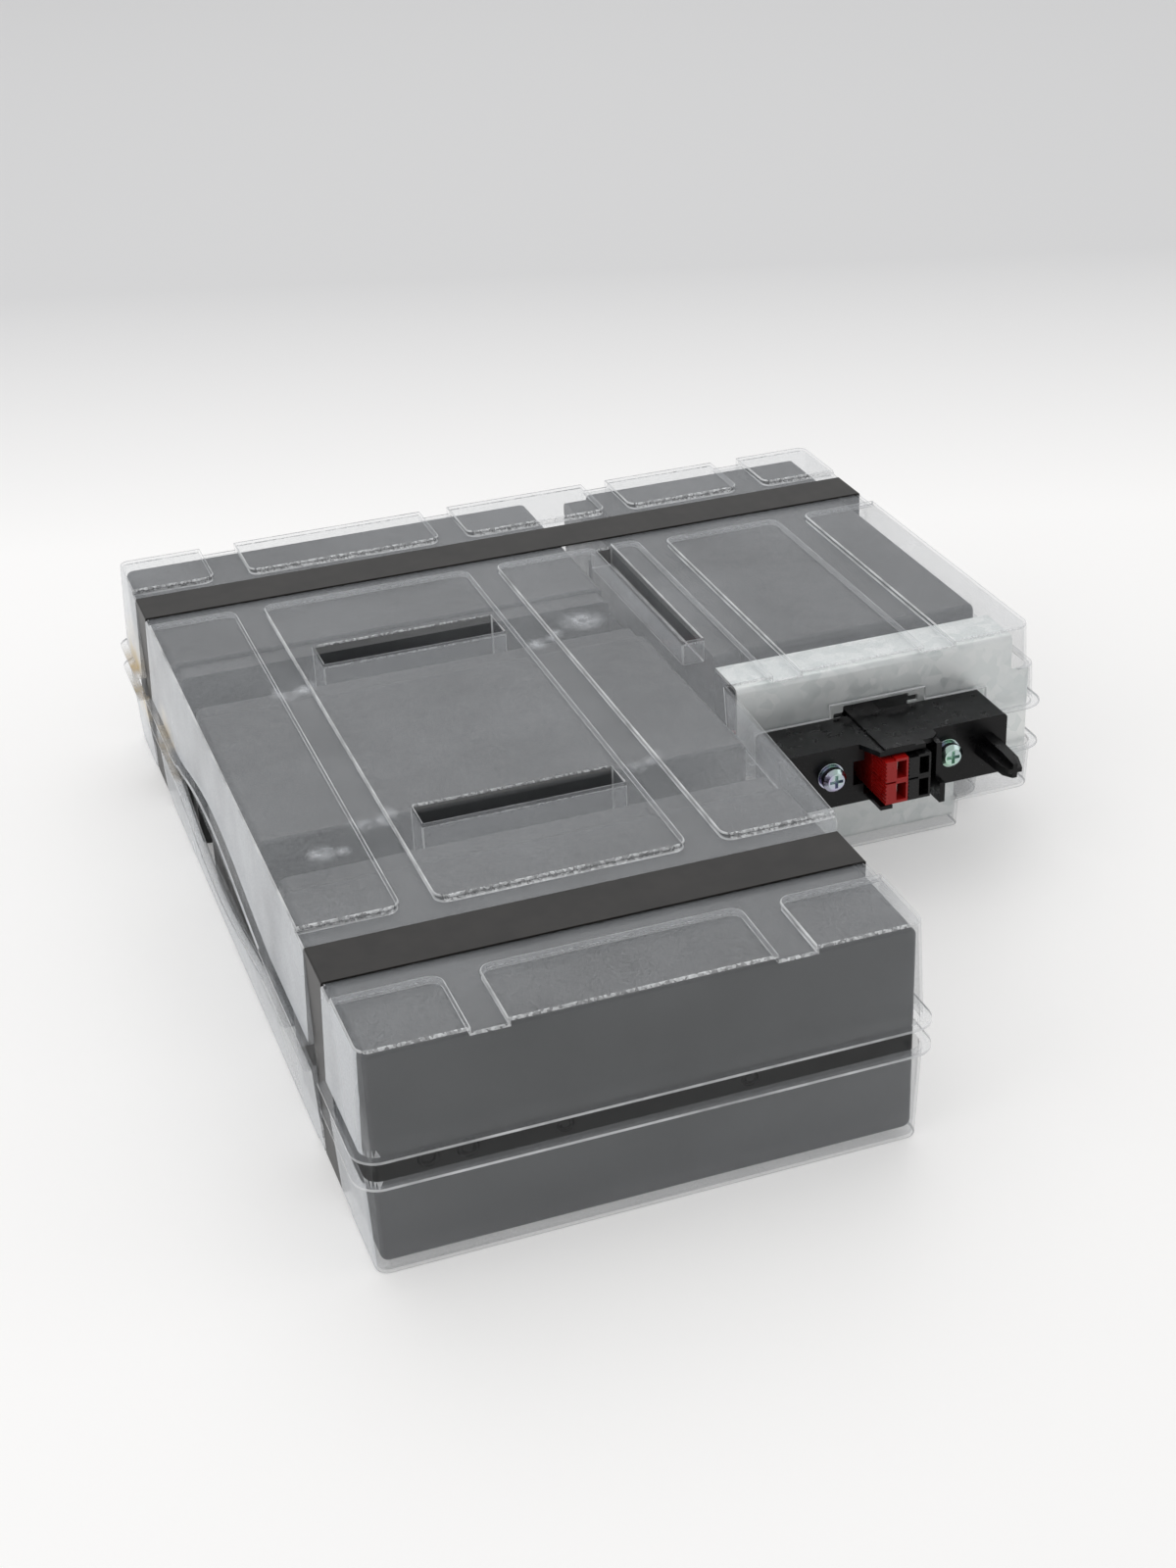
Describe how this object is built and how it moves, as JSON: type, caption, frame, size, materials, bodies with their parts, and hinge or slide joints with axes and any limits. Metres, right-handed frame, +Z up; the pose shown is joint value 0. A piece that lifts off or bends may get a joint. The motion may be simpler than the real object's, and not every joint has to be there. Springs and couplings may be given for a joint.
{
  "type": "ups battery cartridge",
  "caption": "L-shaped battery cartridge: sealed batteries held between clear thermoformed shells by straps, with a steel bracket and a blind-mate connector plate.",
  "frame": {"origin": "middle of the pack's footprint, on the surface it lies on", "axes": "+X across the pack, towards the connector side; +Y from the connector face towards the rear, along the longest side; +Z up, through the thickness"},
  "size_m": [0.278, 0.3376, 0.0695],
  "materials": {
    "clear_film": "clear thermoformed PET sheet, lightly frosted",
    "strap": "black woven-look polypropylene band",
    "battery_case": "black moulded ABS",
    "battery_lid": "black moulded ABS",
    "tinned_brass": "tinned brass",
    "galvanised_steel": "galvanised sheet steel with a faint spangle",
    "plate_moulding": "black moulded nylon, satin",
    "red_housing": "red moulded polycarbonate",
    "black_housing": "black moulded polycarbonate",
    "silvered_copper": "silver-plated copper",
    "zinc_plated_steel": "bright zinc-plated steel",
    "red_insulation": "red vinyl insulation",
    "black_insulation": "black vinyl insulation"
  },
  "bodies": {
    "root": {"top_shell": "clear_film", "bottom_shell": "clear_film", "front_strap": "strap", "rear_strap": "strap", "front_battery_case": "battery_case", "front_battery_lid": "battery_lid", "front_battery_negative_tab": "tinned_brass", "front_battery_negative_receptacle": "tinned_brass", "front_battery_positive_tab": "tinned_brass", "front_battery_positive_receptacle": "tinned_brass", "middle_battery_case": "battery_case", "middle_battery_lid": "battery_lid", "middle_battery_negative_tab": "tinned_brass", "middle_battery_negative_receptacle": "tinned_brass", "middle_battery_positive_tab": "tinned_brass", "middle_battery_positive_receptacle": "tinned_brass", "rear_battery_case": "battery_case", "rear_battery_lid": "battery_lid", "rear_battery_negative_tab": "tinned_brass", "rear_battery_negative_receptacle": "tinned_brass", "rear_battery_positive_tab": "tinned_brass", "rear_battery_positive_receptacle": "tinned_brass", "side_battery_case": "battery_case", "side_battery_lid": "battery_lid", "side_battery_negative_tab": "tinned_brass", "side_battery_negative_receptacle": "tinned_brass", "side_battery_positive_tab": "tinned_brass", "side_battery_positive_receptacle": "tinned_brass", "mounting_bracket": "galvanised_steel", "connector_plate": "plate_moulding", "red_housing_lower": "red_housing", "red_contact_lower": "silvered_copper", "red_housing_upper": "red_housing", "red_contact_upper": "silvered_copper", "black_housing_lower": "black_housing", "black_contact_lower": "silvered_copper", "black_housing_upper": "black_housing", "black_contact_upper": "silvered_copper", "plate_screw_left": "zinc_plated_steel", "spring_washer_left": "zinc_plated_steel", "flat_washer_left": "zinc_plated_steel", "plate_screw_right": "zinc_plated_steel", "spring_washer_right": "zinc_plated_steel", "flat_washer_right": "zinc_plated_steel", "red_lead_upper": "red_insulation", "red_lead_lower": "red_insulation", "black_lead_upper": "black_insulation", "black_lead_lower": "black_insulation", "front_jumper": "black_insulation", "rear_jumper": "black_insulation"}
  },
  "joints": []
}
